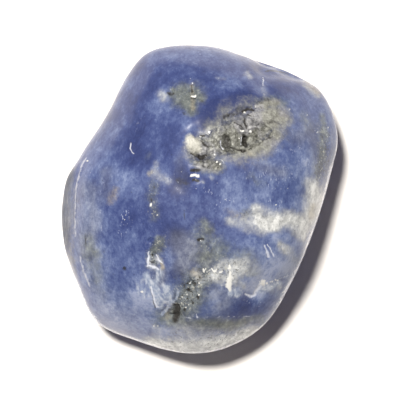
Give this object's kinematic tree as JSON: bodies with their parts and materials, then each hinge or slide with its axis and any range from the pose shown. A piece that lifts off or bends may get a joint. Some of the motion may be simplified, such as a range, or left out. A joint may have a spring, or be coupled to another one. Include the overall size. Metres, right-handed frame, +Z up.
{
  "type": "tumbled sodalite stone",
  "caption": "Tumbled sodalite pebble, a blue stone with grey-white veins, worn smooth with chips, lying on a small flat spot.",
  "frame": {"origin": "under the middle of the stone's outline, on the surface that it rests on", "axes": "+Z up from the flat spot it rests on, +Y along its length towards the far crest, +X towards the right shoulder"},
  "size_m": [0.0268, 0.03, 0.0134],
  "materials": {
    "sodalite": "blue-violet tumbled stone with a satin polish, mottled grey and cream veins and rough pitted patches"
  },
  "bodies": {
    "root": {"sodalite_stone": "sodalite"}
  },
  "joints": []
}
